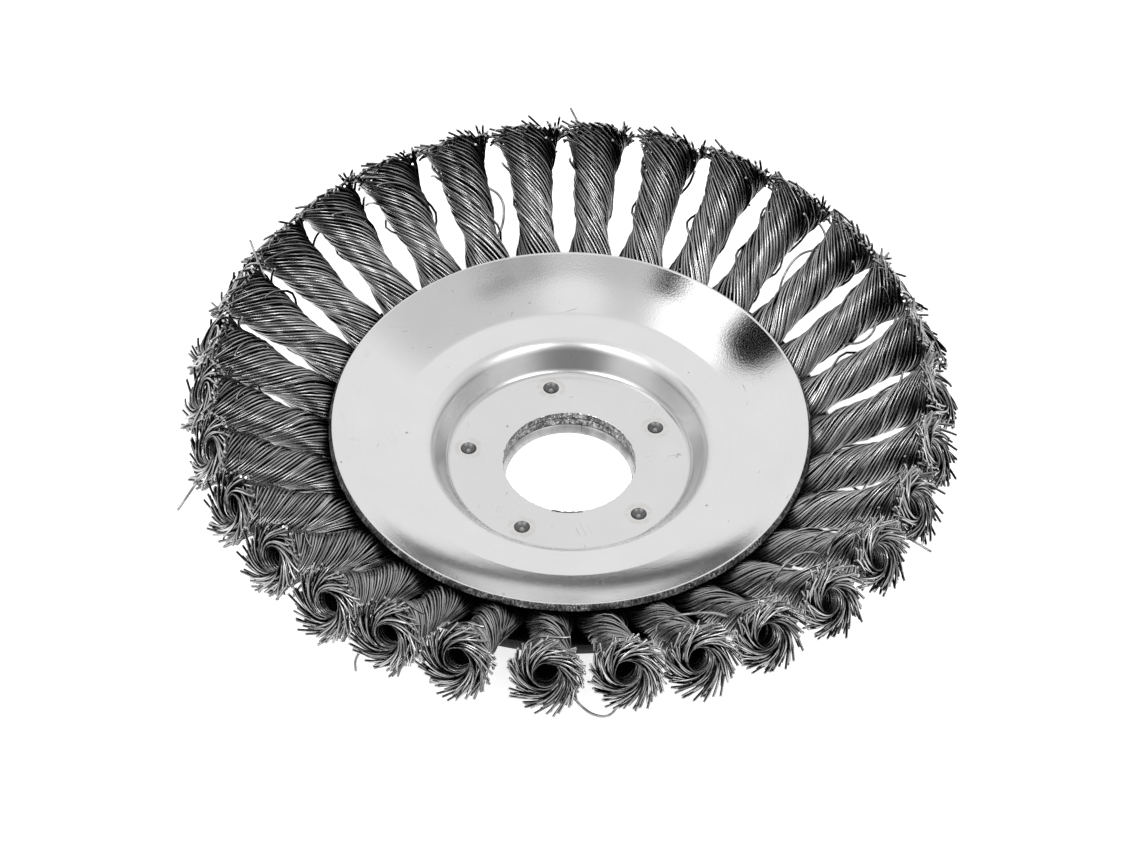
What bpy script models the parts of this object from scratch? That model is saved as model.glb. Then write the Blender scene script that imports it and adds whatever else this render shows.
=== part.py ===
"""Dished twist-knot wire wheel brush, 150 mm across, with a 25.4 mm bore.

Two pressed steel plates clamp a third, the carrier, whose rim has a ring of holes. Through each
hole a bundle of wires is folded in half and twisted into a knot that flares open at its tip. The
plates and the knots rise outwards, so the wheel is a shallow dish that lies on its hub. A rolled
bush lines the bore of the lower plate.

The origin is the centre of the bore in the underside of the hub, with +Z along the spindle.
"""

import math

import bmesh
import bpy
from mathutils import Matrix, Vector

MM = 0.001

# The sheets, and the gap between pieces that are clamped together
UPPER_SHEET = 1.5 * MM
CARRIER_SHEET = 1.5 * MM
LOWER_SHEET = 1.8 * MM
SEAT_GAP = 0.3 * MM

# The bore of the upper plate. The carrier's is a little wider, and the bush stands in a little
UPPER_BORE_RADIUS = 12.7 * MM
CARRIER_BORE_EASE = 0.25 * MM
BUSH_INSET = 0.35 * MM
BUSH_WALL = 1.6 * MM
BUSH_SEAM = 0.3 * MM
BUSH_SEAM_ANGLE = math.radians(80)

# The pressed shape of the upper plate
RECESS_DEPTH = 5.5 * MM
RECESS_RADIUS = 23.4 * MM
RECESS_WALL_ANGLE = math.radians(60)
RECESS_FLOOR_FILLET = 1.5 * MM
RECESS_LIP_FILLET = 2.5 * MM
RING_WIDTH = 6.6 * MM
FLANGE_FOLD_FILLET = 6.0 * MM
FLANGE_ANGLE = math.radians(23.5)
FLANGE_WIDTH = 12.4 * MM

# The lower plate, which reaches out beyond the upper one
LOWER_OVERHANG = 4.7 * MM
LOWER_FOLD_FILLET = 5.0 * MM

# The carrier's ring of holes, and the land that is left between them and its rim
HOLE_RADIUS = 2.3 * MM
HOLE_LAND = 1.2 * MM
CARRIER_FOLD_FILLET = 3.0 * MM

# The spot welds that join the three plates, each a small pit in both faces of the hub
WELD_COUNT = 5
WELD_CIRCLE = 19.2 * MM
FIRST_WELD_ANGLE = math.radians(27)
PIT_RADIUS = 1.4 * MM
PIT_FLOOR_RADIUS = 0.8 * MM
PIT_DEPTH = 0.6 * MM

# The twisted knots. Their length is measured from the rim of the upper plate
KNOTS = 30
FIRST_KNOT_ANGLE = math.radians(2.5)
KNOT_ANGLE = math.radians(30)
KNOT_LENGTH = 29.5 * MM
CLAMPED_THICKNESS = 5.6 * MM
WAIST_RADIUS = 3.5 * MM
WAIST_SETBACK = 4.3 * MM
CROWN_SHARE = 0.72
EYE_RADIUS = 2.2 * MM
EYE_FLOOR_RADIUS = 1.5 * MM
EYE_DEPTH = 7.0 * MM
LIP_DEPTH = 1.8 * MM
NEIGHBOUR_GAP = 0.3 * MM
ROOT_SLOT_EASE = 0.1 * MM

# Each knot is drawn as this many strands, laid to the left as on an S-laid rope
STRANDS = 6
SHAFT_FLUTE = 0.17
CROWN_FLUTE = 0.24
CLAMP_LAY = math.radians(18)
SHAFT_LAY = math.radians(34)
TIP_LAY = math.radians(48)

# Past the lip the strands run on across the crown and round into the eye
CROWN_SWIRL = math.radians(20)
EYE_SWIRL = math.radians(35)

PLATE_STEPS = 36
BUSH_SIDES = 36
HOLE_SIDES = 6
PIT_SIDES = 8
FLARE_STEPS = 5
SHARP_ANGLE = math.radians(40)
MERGE_DISTANCE = 0.01 * MM

CARRIER_BORE_RADIUS = UPPER_BORE_RADIUS + CARRIER_BORE_EASE
BUSH_BORE_RADIUS = UPPER_BORE_RADIUS - BUSH_INSET
RECESS_LIP_RADIUS = RECESS_RADIUS + RECESS_DEPTH / math.tan(RECESS_WALL_ANGLE)
FLANGE_FOLD_RADIUS = RECESS_LIP_RADIUS + RING_WIDTH
UPPER_RIM_RADIUS = FLANGE_FOLD_RADIUS + FLANGE_WIDTH

# Heights of the stacked sheets at the hub
LOWER_TOP = LOWER_SHEET
CARRIER_BOTTOM = LOWER_TOP + SEAT_GAP
CARRIER_MIDDLE = CARRIER_BOTTOM + CARRIER_SHEET / 2
UPPER_BOTTOM = CARRIER_BOTTOM + CARRIER_SHEET + SEAT_GAP
UPPER_TOP = UPPER_BOTTOM + UPPER_SHEET
FLAT_TOP = UPPER_TOP + RECESS_DEPTH
UPPER_RIM_TOP = FLAT_TOP + FLANGE_WIDTH * math.tan(FLANGE_ANGLE)

# The lower corner of the upper plate's rim presses on the knots, and their length starts there
CLAMP_RADIUS = UPPER_RIM_RADIUS + UPPER_SHEET * math.sin(FLANGE_ANGLE)
CLAMP_HEIGHT = UPPER_RIM_TOP - UPPER_SHEET * math.cos(FLANGE_ANGLE)
HALF_THICKNESS = CLAMPED_THICKNESS / 2


def height_below_knots(radius, depth):
    """Height, at a radius, of the line that runs parallel to the knots this deep below the clamping corner."""
    return CLAMP_HEIGHT + (radius - CLAMP_RADIUS) * math.tan(KNOT_ANGLE) - depth / math.cos(KNOT_ANGLE)


def radius_below_knots(height, depth):
    """Radius at which that line reaches a height."""
    return CLAMP_RADIUS + (height - height_below_knots(CLAMP_RADIUS, depth)) / math.tan(KNOT_ANGLE)


def along_knot(radius):
    """Distance along a knot's axis from the clamping corner to a radius of the wheel."""
    return (radius - CLAMP_RADIUS) / math.cos(KNOT_ANGLE)


def half_pitch(distance):
    """Half of the room between two neighbours, at a distance along a knot's axis."""
    radius = CLAMP_RADIUS + distance * math.cos(KNOT_ANGLE)
    return radius * math.sin(math.pi / KNOTS) - NEIGHBOUR_GAP / 2


AXIS_DEPTH = SEAT_GAP + HALF_THICKNESS
LOWER_FLANGE_DEPTH = AXIS_DEPTH + HALF_THICKNESS + SEAT_GAP

# The wires are folded where the plates have opened wide enough for them, at the lower plate's fold
LOWER_FOLD_RADIUS = radius_below_knots(LOWER_TOP, LOWER_FLANGE_DEPTH)
LOWER_RIM_RADIUS = UPPER_RIM_RADIUS + LOWER_OVERHANG
HOLE_CIRCLE = LOWER_FOLD_RADIUS + HOLE_RADIUS
CARRIER_RIM_RADIUS = HOLE_CIRCLE + HOLE_RADIUS + HOLE_LAND


def clear_scene():
    for obj in list(bpy.data.objects):
        bpy.data.objects.remove(obj, do_unlink=True)


def new_collection(name, shown=True):
    collection = bpy.data.collections.new(name)
    collection.hide_render = not shown
    bpy.context.scene.collection.children.link(collection)
    return collection


def new_material(name, colour, roughness, metallic=1.0):
    material = bpy.data.materials.new(name)
    material.use_nodes = True
    shader = material.node_tree.nodes["Principled BSDF"]
    shader.inputs["Base Color"].default_value = (*colour, 1.0)
    shader.inputs["Roughness"].default_value = roughness
    shader.inputs["Metallic"].default_value = metallic
    return material


def add_object(name, mesh, collection):
    obj = bpy.data.objects.new(name, mesh)
    collection.objects.link(obj)
    return obj


def as_cutter(obj):
    obj.hide_render = True
    obj.display_type = "WIRE"
    return obj


def cut(obj, cutter):
    boolean = obj.modifiers.new(cutter.name, "BOOLEAN")
    boolean.operation = "DIFFERENCE"
    boolean.object = cutter


def applied_mesh(obj, name):
    """The object's mesh with its modifiers applied, smooth up to its edges. The object is removed."""
    bpy.context.view_layer.update()
    evaluated = obj.evaluated_get(bpy.context.evaluated_depsgraph_get())
    mesh = bpy.data.meshes.new_from_object(evaluated)
    bpy.data.objects.remove(obj, do_unlink=True)
    mesh.name = name
    mesh.shade_smooth()
    mesh.set_sharp_from_angle(angle=SHARP_ANGLE)
    return mesh


def around(count, start=0.0):
    """Evenly spaced rotations about +Z."""
    return [Matrix.Rotation(start + k * math.tau / count, 4, "Z") for k in range(count)]


def cone_cutter(name, placements, lower_radius, upper_radius, depth, sides, collection):
    """One cutter made of equal cones or cylinders, each placed by its own matrix."""
    shape = bmesh.new()
    for placement in placements:
        bmesh.ops.create_cone(
            shape,
            cap_ends=True,
            segments=sides,
            radius1=lower_radius,
            radius2=upper_radius,
            depth=depth,
            matrix=placement,
        )
    mesh = bpy.data.meshes.new(name)
    shape.to_mesh(mesh)
    shape.free()
    return as_cutter(add_object(name, mesh, collection))


def rounded_profile(corners):
    """Points along a line of (radius, height, fillet, steps) corners, with an arc in each filleted one."""
    points = []
    for index, (radius, height, fillet, steps) in enumerate(corners):
        corner = Vector((radius, height))
        if not fillet:
            points.append(corner)
            continue
        before = (Vector(corners[index - 1][:2]) - corner).normalized()
        after = (Vector(corners[index + 1][:2]) - corner).normalized()
        half_angle = before.angle(after) / 2
        centre = corner + (before + after).normalized() * fillet / math.sin(half_angle)
        tangent_length = fillet / math.tan(half_angle)
        start = (corner + before * tangent_length - centre).normalized()
        end = (corner + after * tangent_length - centre).normalized()
        points += [centre + fillet * start.slerp(end, step / steps) for step in range(steps + 1)]
    return points


def turned_plate(name, corners, sheet, offset, collection, material):
    """A pressed sheet: its profile turned about +Z, then given the sheet's thickness.

    An offset of -1 puts the thickness below the profile, and 0 puts it on both sides.
    """
    profile = rounded_profile(corners)
    mesh = bpy.data.meshes.new(name)
    edges = [(i, i + 1) for i in range(len(profile) - 1)]
    mesh.from_pydata([(point.x, 0, point.y) for point in profile], edges, [])
    mesh.materials.append(material)
    plate = add_object(f"{name}_blank", mesh, collection)
    screw = plate.modifiers.new("Turn", "SCREW")
    screw.steps = PLATE_STEPS
    screw.render_steps = PLATE_STEPS
    screw.use_merge_vertices = True
    screw.merge_threshold = MERGE_DISTANCE
    sheet_modifier = plate.modifiers.new("Sheet", "SOLIDIFY")
    sheet_modifier.thickness = sheet
    sheet_modifier.offset = offset
    sheet_modifier.use_even_offset = True
    return plate


def weld_pits(name, surface_height, facing, collection):
    """Cutter for the weld pits in a face that looks up (facing 1) or down (facing -1)."""
    flare = (PIT_RADIUS - PIT_FLOOR_RADIUS) / PIT_DEPTH
    mouth_radius = PIT_RADIUS + flare * PIT_DEPTH
    turn = Matrix.Rotation(0 if facing > 0 else math.pi, 4, "X")
    place = Matrix.Translation((WELD_CIRCLE, 0, surface_height)) @ turn
    placements = [spin @ place for spin in around(WELD_COUNT, FIRST_WELD_ANGLE)]
    return cone_cutter(
        name, placements, PIT_FLOOR_RADIUS, mouth_radius, 2 * PIT_DEPTH, PIT_SIDES, collection
    )


def make_upper_plate(parts, cutters, material):
    corners = [
        (UPPER_BORE_RADIUS, UPPER_TOP, 0, 0),
        (RECESS_RADIUS, UPPER_TOP, RECESS_FLOOR_FILLET, 2),
        (RECESS_LIP_RADIUS, FLAT_TOP, RECESS_LIP_FILLET, 3),
        (FLANGE_FOLD_RADIUS, FLAT_TOP, FLANGE_FOLD_FILLET, 2),
        (UPPER_RIM_RADIUS, UPPER_RIM_TOP, 0, 0),
    ]
    plate = turned_plate("upper_plate", corners, UPPER_SHEET, -1, cutters, material)
    cut(plate, weld_pits("upper_weld_pits", UPPER_TOP, 1, cutters))
    add_object("upper_plate", applied_mesh(plate, "upper_plate"), parts)


def make_lower_plate(parts, cutters, material):
    rim_height = height_below_knots(LOWER_RIM_RADIUS, LOWER_FLANGE_DEPTH)
    corners = [
        (BUSH_BORE_RADIUS + BUSH_WALL + SEAT_GAP, LOWER_TOP, 0, 0),
        (LOWER_FOLD_RADIUS, LOWER_TOP, LOWER_FOLD_FILLET, 2),
        (LOWER_RIM_RADIUS, rim_height, 0, 0),
    ]
    plate = turned_plate("lower_plate", corners, LOWER_SHEET, -1, cutters, material)
    cut(plate, weld_pits("lower_weld_pits", 0, -1, cutters))
    add_object("lower_plate", applied_mesh(plate, "lower_plate"), parts)


def make_carrier_plate(parts, cutters, material):
    """The middle plate, whose conical rim lies on the knots' axes and holds them by its holes."""
    corners = [
        (CARRIER_BORE_RADIUS, CARRIER_MIDDLE, 0, 0),
        (radius_below_knots(CARRIER_MIDDLE, AXIS_DEPTH), CARRIER_MIDDLE, CARRIER_FOLD_FILLET, 1),
        (CARRIER_RIM_RADIUS, height_below_knots(CARRIER_RIM_RADIUS, AXIS_DEPTH), 0, 0),
    ]
    plate = turned_plate("carrier_plate", corners, CARRIER_SHEET, 0, cutters, material)
    through = 3 * CARRIER_SHEET
    in_knot = Matrix.Translation((along_knot(HOLE_CIRCLE), 0, 0))
    placements = [placement @ in_knot for placement in knot_placements()]
    cut(
        plate,
        cone_cutter(
            "carrier_holes", placements, HOLE_RADIUS, HOLE_RADIUS, through, HOLE_SIDES, cutters
        ),
    )
    add_object("carrier_plate", applied_mesh(plate, "carrier_plate"), parts)


def make_bore_bush(parts, cutters, material):
    """A strip rolled into a ring, with an open seam, that lines the bore of the lower plate."""
    mesh = bpy.data.meshes.new("bore_bush")
    outer_radius = BUSH_BORE_RADIUS + BUSH_WALL
    profile = [
        (outer_radius, 0, LOWER_SHEET),
        (outer_radius, 0, 0),
        (BUSH_BORE_RADIUS, 0, 0),
        (BUSH_BORE_RADIUS, 0, LOWER_SHEET),
    ]
    corners = len(profile)
    mesh.from_pydata(profile, [(i, (i + 1) % corners) for i in range(corners)], [])
    mesh.materials.append(material)
    bush = add_object("bore_bush_blank", mesh, cutters)
    screw = bush.modifiers.new("Roll", "SCREW")
    screw.steps = BUSH_SIDES
    screw.render_steps = BUSH_SIDES
    screw.use_merge_vertices = True
    screw.merge_threshold = MERGE_DISTANCE
    shape = bmesh.new()
    middle = BUSH_BORE_RADIUS + BUSH_WALL / 2
    bmesh.ops.create_cube(
        shape,
        matrix=Matrix.Rotation(BUSH_SEAM_ANGLE, 4, "Z")
        @ Matrix.Translation((middle, 0, LOWER_SHEET / 2))
        @ Matrix.Diagonal((2 * BUSH_WALL, BUSH_SEAM, 2 * LOWER_SHEET, 1)),
    )
    seam_mesh = bpy.data.meshes.new("bush_seam")
    shape.to_mesh(seam_mesh)
    shape.free()
    cut(bush, as_cutter(add_object("bush_seam", seam_mesh, cutters)))
    add_object("bore_bush", applied_mesh(bush, "bore_bush"), parts)


def knot_placements():
    """Matrices that put a knot's own +X along its axis, with its origin below the clamping corner."""
    start = Matrix.Translation((CLAMP_RADIUS, 0, height_below_knots(CLAMP_RADIUS, AXIS_DEPTH)))
    rise = Matrix.Rotation(-KNOT_ANGLE, 4, "Y")
    return [spin @ start @ rise for spin in around(KNOTS, FIRST_KNOT_ANGLE)]


def knot_sections():
    """(distance, half width, half thickness, lay) along a knot, from the folded root to the lip."""
    root = along_knot(LOWER_FOLD_RADIUS)
    clamp_end = along_knot(LOWER_RIM_RADIUS)
    waist = clamp_end + WAIST_SETBACK
    lip = KNOT_LENGTH - LIP_DEPTH
    leaving_width = (half_pitch(0) + WAIST_RADIUS) / 2
    sections = [
        (root, half_pitch(root), HALF_THICKNESS, 0),
        (0, half_pitch(0), HALF_THICKNESS, CLAMP_LAY),
        (clamp_end, leaving_width, HALF_THICKNESS, CLAMP_LAY),
    ]
    for step in range(FLARE_STEPS + 1):
        share = step / FLARE_STEPS
        radius = WAIST_RADIUS + (half_pitch(lip) - WAIST_RADIUS) * share**2
        lay = SHAFT_LAY + (TIP_LAY - SHAFT_LAY) * share**2
        sections.append((waist + (lip - waist) * share, radius, radius, lay))
    return sections


def knot_rings():
    """(distance, half width, half thickness, flute, turn) of each ring, from the root to the eye's floor."""
    rings = []
    turn = 0.0
    last = knot_sections()[0]
    for section in knot_sections():
        distance, half_width, half_thickness, lay = section
        mean_radius = (half_width + half_thickness + last[1] + last[2]) / 4
        turn -= (distance - last[0]) * math.tan((lay + last[3]) / 2) / mean_radius
        rings.append((distance, half_width, half_thickness, SHAFT_FLUTE, turn))
        last = section
    crown_radius = CROWN_SHARE * half_pitch(last[0])
    crown_turn = turn + CROWN_SWIRL
    eye_turn = crown_turn + EYE_SWIRL
    rings += [
        (KNOT_LENGTH, crown_radius, crown_radius, CROWN_FLUTE, crown_turn),
        (last[0], EYE_RADIUS, EYE_RADIUS, 0, eye_turn),
        (KNOT_LENGTH - EYE_DEPTH, EYE_FLOOR_RADIUS, EYE_FLOOR_RADIUS, 0, eye_turn),
    ]
    return rings


def twisted_loft(rings):
    """A bmesh of the fluted rings, each joined to the next, with closed ends."""
    shape = bmesh.new()
    count = 2 * STRANDS
    loops = []
    for distance, half_width, half_thickness, flute, turn in rings:
        loop = []
        for index in range(count):
            angle = turn + math.tau * index / count
            reach = 1 - flute * (index % 2)
            side = half_width * reach * math.cos(angle)
            rise = half_thickness * reach * math.sin(angle)
            loop.append(shape.verts.new((distance, side, rise)))
        loops.append(loop)
    for inner, outer in zip(loops, loops[1:]):
        for index in range(count):
            following = (index + 1) % count
            shape.faces.new((inner[index], inner[following], outer[following]))
            shape.faces.new((inner[index], outer[following], outer[index]))
    shape.faces.new(loops[0])
    shape.faces.new(loops[-1])
    bmesh.ops.recalc_face_normals(shape, faces=shape.faces)
    return shape


def make_root_slot(collection):
    """Cutter that splits a knot's root into two legs, joined by the stub that fills the carrier's hole."""
    slot_height = CARRIER_SHEET + 2 * (SEAT_GAP + ROOT_SLOT_EASE)
    knot_width = 2 * half_pitch(0)
    hole_place = along_knot(HOLE_CIRCLE)
    slot_start = along_knot(LOWER_FOLD_RADIUS) - SEAT_GAP
    slot_end = along_knot(CARRIER_RIM_RADIUS) + SEAT_GAP
    shape = bmesh.new()
    bmesh.ops.create_cube(
        shape,
        matrix=Matrix.Translation(((slot_start + slot_end) / 2, 0, 0))
        @ Matrix.Diagonal((slot_end - slot_start, 2 * knot_width, slot_height, 1)),
    )
    mesh = bpy.data.meshes.new("root_slot")
    shape.to_mesh(mesh)
    shape.free()
    slot = as_cutter(add_object("root_slot", mesh, collection))
    stub_radius = HOLE_RADIUS - SEAT_GAP
    stub_place = [Matrix.Translation((hole_place, 0, 0))]
    stub = cone_cutter(
        "root_stub", stub_place, stub_radius, stub_radius, 2 * slot_height, HOLE_SIDES, collection
    )
    cut(slot, stub)
    return slot


def make_knots(parts, cutters, material):
    mesh = bpy.data.meshes.new("knot_loft")
    shape = twisted_loft(knot_rings())
    shape.to_mesh(mesh)
    shape.free()
    pattern = add_object("knot_pattern", mesh, cutters)
    cut(pattern, make_root_slot(cutters))
    knot_mesh = applied_mesh(pattern, "knot")
    knot_mesh.materials.append(material)
    for number, placement in enumerate(knot_placements(), 1):
        knot = add_object(f"knot_{number:02d}", knot_mesh, parts)
        knot.matrix_world = placement


def main():
    clear_scene()
    parts = new_collection("wire_wheel_brush")
    cutters = new_collection("cutters", shown=False)
    zinc = new_material("zinc_plated_steel", (0.72, 0.72, 0.73), 0.28)
    blackened = new_material("blackened_steel", (0.05, 0.05, 0.055), 0.45)
    wire = new_material("steel_wire", (0.30, 0.30, 0.31), 0.38)
    make_upper_plate(parts, cutters, zinc)
    make_carrier_plate(parts, cutters, zinc)
    make_lower_plate(parts, cutters, blackened)
    make_bore_bush(parts, cutters, zinc)
    make_knots(parts, cutters, wire)


main()
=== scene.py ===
# %% [markdown]
# # A twist-knot wire wheel
# The wheel is three pressed steel plates with thirty knots of wire between them. The plates are
# turned shapes, so a profile and a Screw modifier make each one. The knots are where the work is:
# a real knot is a bundle of drawn wires, folded in half, twisted and cut off, and from a step away
# every wire shows. So each knot is made of single wires here, by Geometry Nodes, because all of
# them follow one rule and differ only by their number in the bundle.

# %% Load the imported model
import math
import random

import bmesh
import bpy
from mathutils import Matrix, Vector
from mathutils import noise as math_noise


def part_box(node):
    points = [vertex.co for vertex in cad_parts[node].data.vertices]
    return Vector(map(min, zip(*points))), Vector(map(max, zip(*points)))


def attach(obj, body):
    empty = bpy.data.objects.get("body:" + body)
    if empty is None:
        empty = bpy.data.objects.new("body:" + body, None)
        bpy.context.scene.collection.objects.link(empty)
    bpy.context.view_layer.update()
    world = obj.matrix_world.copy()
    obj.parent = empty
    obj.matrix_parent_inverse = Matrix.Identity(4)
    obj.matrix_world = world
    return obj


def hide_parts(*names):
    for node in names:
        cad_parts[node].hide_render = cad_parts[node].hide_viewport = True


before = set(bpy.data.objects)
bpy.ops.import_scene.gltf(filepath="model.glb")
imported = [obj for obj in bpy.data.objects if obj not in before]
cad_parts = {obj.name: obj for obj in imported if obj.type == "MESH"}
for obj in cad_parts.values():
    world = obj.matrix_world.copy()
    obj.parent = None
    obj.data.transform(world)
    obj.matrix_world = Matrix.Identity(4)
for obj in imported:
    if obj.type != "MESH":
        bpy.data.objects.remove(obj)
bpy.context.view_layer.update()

print("nodes in the frame:", len(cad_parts))

# %% [markdown]
# ## Sizes
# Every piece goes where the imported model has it. What can be read from the model's boxes is read
# from them: the upper plate's widest point is the lower corner of its rim, which presses on the
# knots, and its highest point is the top of that rim. The rest are the real sizes of the sheets,
# the folds and the wire, in millimetres.

# %% Real sizes
MM = 0.001

UPPER_SHEET = 1.5 * MM
LOWER_SHEET = 1.8 * MM
RECESS_DEPTH = 5.5 * MM
RECESS_RADIUS = 23.4 * MM
RECESS_WALL_ANGLE = math.radians(60)
RECESS_FLOOR_FILLET = 1.8 * MM
RECESS_LIP_FILLET = 3.4 * MM
RING_WIDTH = 6.6 * MM
FLANGE_FOLD_FILLET = 6.0 * MM
FLANGE_ANGLE = math.radians(23.5)
UPPER_BORE_RADIUS = 12.7 * MM
LOWER_FOLD_FILLET = 5.0 * MM
SEAT_GAP = 0.3 * MM

KNOTS = 30
FIRST_KNOT_ANGLE = math.radians(2.5)
KNOT_ANGLE = math.radians(30)
KNOT_LENGTH = 29.5 * MM
CLAMPED_THICKNESS = 5.6 * MM
WIRE_DIAMETER = 0.52 * MM

clamp_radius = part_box("upper_plate")[1].x
rim_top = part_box("upper_plate")[1].z
rim_radius = clamp_radius - UPPER_SHEET * math.sin(FLANGE_ANGLE)
clamp_height = rim_top - UPPER_SHEET * math.cos(FLANGE_ANGLE)
axis_depth = SEAT_GAP + CLAMPED_THICKNESS / 2
recess_lip_radius = RECESS_RADIUS + RECESS_DEPTH / math.tan(RECESS_WALL_ANGLE)
flange_fold_radius = recess_lip_radius + RING_WIDTH
flat_top = rim_top - (rim_radius - flange_fold_radius) * math.tan(FLANGE_ANGLE)
floor_top = flat_top - RECESS_DEPTH
print(f"hub floor at {floor_top / MM:.2f} mm, rim top at {rim_top / MM:.2f} mm")

# %% [markdown]
# ## Camera
# The photograph looks down on the wheel at 47.6 degrees through a long lens. One scale fixes the
# view: at the middle of the hub a millimetre is 5.2 pixels. The aim is worked back from the pixel
# where the hub's centre lies, and the small roll is the tilt of the rim's ellipse.

# %% Camera
PHOTO_WIDTH = 1140
PHOTO_HEIGHT = 855
HUB_PIXEL_X = 569.2
HUB_PIXEL_Y = 461.7
PIXELS_PER_MM = 5.2
CAMERA_ELEVATION = math.radians(47.6)
CAMERA_ROLL = math.radians(1.5)
CAMERA_DISTANCE = 1.2
SENSOR_WIDTH = 36.0


def in_scene(name, data):
    """A new object with that data, put into the scene."""
    obj = bpy.data.objects.new(name, data)
    bpy.context.scene.collection.objects.link(obj)
    return obj


lens = bpy.data.cameras.new("studio_camera")
lens.sensor_fit = "HORIZONTAL"
lens.sensor_width = SENSOR_WIDTH
lens.lens = SENSOR_WIDTH * PIXELS_PER_MM * CAMERA_DISTANCE / MM / PHOTO_WIDTH
lens.clip_start = 0.05
lens.clip_end = 20.0
camera = in_scene("studio_camera", lens)

facing = Matrix.Rotation(math.pi / 2 - CAMERA_ELEVATION, 4, "X") @ Matrix.Rotation(CAMERA_ROLL, 4, "Z")
image_right = facing.to_3x3() @ Vector((1, 0, 0))
image_up = facing.to_3x3() @ Vector((0, 1, 0))
backwards = facing.to_3x3() @ Vector((0, 0, 1))
aim = Vector((0, 0, floor_top))
aim += image_right * (PHOTO_WIDTH / 2 - HUB_PIXEL_X) / PIXELS_PER_MM * MM
aim += image_up * (HUB_PIXEL_Y - PHOTO_HEIGHT / 2) / PIXELS_PER_MM * MM
camera.matrix_world = Matrix.Translation(aim + backwards * CAMERA_DISTANCE) @ facing
bpy.context.scene.camera = camera
print(f"lens {lens.lens:.1f} mm, aimed at {[round(value / MM, 1) for value in aim]}")

# %% [markdown]
# ## Formulas in a node tree
# A wire's path is a formula with some thirty steps. Drawn by hand that is a wall of Math nodes, so
# this small class writes them: adding or multiplying two of its values adds the node that does it.
# The same class serves the Geometry Nodes trees and the materials, which share these nodes.

# %% A value that writes its own Math nodes
class Formula:
    """A socket's value inside a node tree, used as a plain number is."""

    def __init__(self, tree, socket):
        self.tree = tree
        self.socket = socket

    def math(self, operation, *values):
        return result(self.tree, "ShaderNodeMath", dict(enumerate(values)), operation=operation)

    def __add__(self, other):
        return self.math("ADD", self, other)

    def __sub__(self, other):
        return self.math("SUBTRACT", self, other)

    def __rsub__(self, other):
        return self.math("SUBTRACT", other, self)

    def __mul__(self, other):
        return self.math("MULTIPLY", self, other)

    def __truediv__(self, other):
        return self.math("DIVIDE", self, other)

    def __rtruediv__(self, other):
        return self.math("DIVIDE", other, self)

    def __pow__(self, power):
        return self.math("POWER", self, power)

    def sine(self):
        return self.math("SINE", self)

    def cosine(self):
        return self.math("COSINE", self)

    def root(self):
        return self.math("SQRT", self)

    def size(self):
        return self.math("ABSOLUTE", self)

    def at_most(self, other):
        return self.math("MINIMUM", self, other)

    def at_least(self, other):
        return self.math("MAXIMUM", self, other)

    def ramp(self, low, high):
        """0 below low, 1 above high, and an even S between them."""
        inputs = {0: self, 1: low, 2: high}
        return result(self.tree, "ShaderNodeMapRange", inputs, interpolation_type="SMOOTHSTEP")

    __radd__ = __add__
    __rmul__ = __mul__


def feed(tree, value, socket):
    tree.links.new(value.socket if isinstance(value, Formula) else value, socket)


def node_with(tree, kind, inputs=(), **settings):
    """A node of that kind. Each input is given by its number or name, as a value or a socket."""
    node = tree.nodes.new(kind)
    for name, value in settings.items():
        setattr(node, name, value)
    for key, value in dict(inputs).items():
        if isinstance(value, (Formula, bpy.types.NodeSocket)):
            feed(tree, value, node.inputs[key])
        else:
            node.inputs[key].default_value = value
    return node


def result(tree, kind, inputs=(), output=0, **settings):
    """One output of such a node, as a value."""
    return Formula(tree, node_with(tree, kind, inputs, **settings).outputs[output])


def coordinates(tree, vector):
    node = node_with(tree, "ShaderNodeSeparateXYZ", {0: vector})
    return [Formula(tree, output) for output in node.outputs]


def combined(tree, x=0, y=0, z=0):
    return result(tree, "ShaderNodeCombineXYZ", {0: x, 1: y, 2: z})


def new_tree(name, kind, inputs, outputs):
    """A node group and its inputs' values. An input has a start value, or the name of its type."""
    tree = bpy.data.node_groups.new(name, kind)
    for label, start in inputs.items():
        named = {int: "Int", float: "Float"}.get(type(start), start)
        socket = tree.interface.new_socket(label, in_out="INPUT", socket_type="NodeSocket" + named)
        if start != named:
            socket.default_value = start
    for label, named in outputs.items():
        tree.interface.new_socket(label, in_out="OUTPUT", socket_type="NodeSocket" + named)
    given = tree.nodes.new("NodeGroupInput")
    return tree, {label: Formula(tree, given.outputs[label]) for label in inputs}


def finished_mesh(obj, name):
    """The object's evaluated mesh, kept under a new name, with the object itself removed."""
    bpy.context.view_layer.update()
    evaluated = obj.evaluated_get(bpy.context.evaluated_depsgraph_get())
    mesh = bpy.data.meshes.new_from_object(evaluated)
    mesh.name = name
    bpy.data.objects.remove(obj, do_unlink=True)
    return mesh


def triangles(mesh):
    return sum(len(face.vertices) - 2 for face in mesh.polygons)


def kept_mesh(shape, name):
    """The bmesh, written out as a mesh."""
    mesh = bpy.data.meshes.new(name)
    shape.to_mesh(mesh)
    shape.free()
    return mesh


def run_tree(obj, tree, inputs):
    """The mesh that a Geometry Nodes tree makes of the object."""
    modifier = obj.modifiers.new(tree.name, "NODES")
    modifier.node_group = tree
    for item in tree.interface.items_tree:
        if item.item_type == "SOCKET" and item.in_out == "INPUT" and item.name in inputs:
            modifier[item.identifier] = inputs[item.name]
    return finished_mesh(obj, obj.name)


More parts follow.
